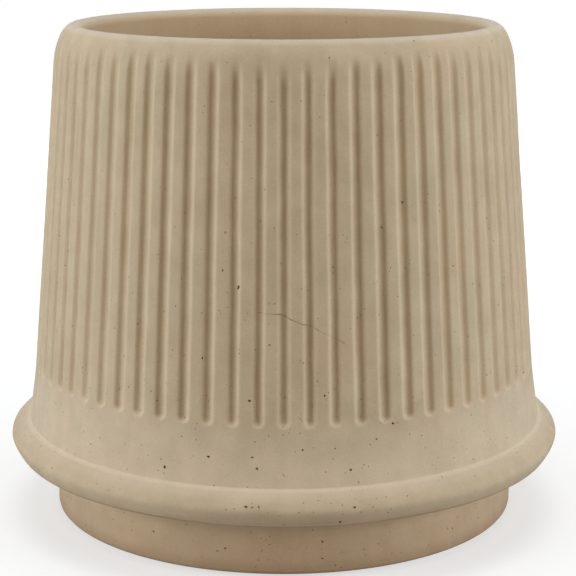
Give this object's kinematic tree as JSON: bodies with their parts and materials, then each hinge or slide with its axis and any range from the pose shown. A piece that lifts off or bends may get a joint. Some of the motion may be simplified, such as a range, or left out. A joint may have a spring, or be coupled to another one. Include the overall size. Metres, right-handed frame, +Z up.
{
  "type": "garden pot",
  "caption": "Round fluted garden pot with a tapering wall, thick rounded rim, a ring above its plain foot, foot pads and a lift-out drain plug.",
  "frame": {"origin": "on the ground, on the axis of the pot, under the middle of the foot", "axes": "+Z up along the axis of the pot; -Y is the side that faces the viewer"},
  "size_m": [0.2802, 0.2802, 0.2462],
  "materials": {
    "cast_cement": "matte, unglazed cast surface",
    "plug_rubber": "satin moulded rubber",
    "pad_rubber": "matte rubber"
  },
  "bodies": {
    "pot": {"pot_body": "cast_cement", "foot_pad_1": "pad_rubber", "foot_pad_2": "pad_rubber", "foot_pad_3": "pad_rubber", "foot_pad_4": "pad_rubber"},
    "plug": {"drain_plug": "plug_rubber"}
  },
  "joints": [
    {"name": "plug_lift", "type": "slide", "parent": "pot", "child": "plug", "axis": [0, 0, 1], "range_m": [0, 0.25]}
  ]
}
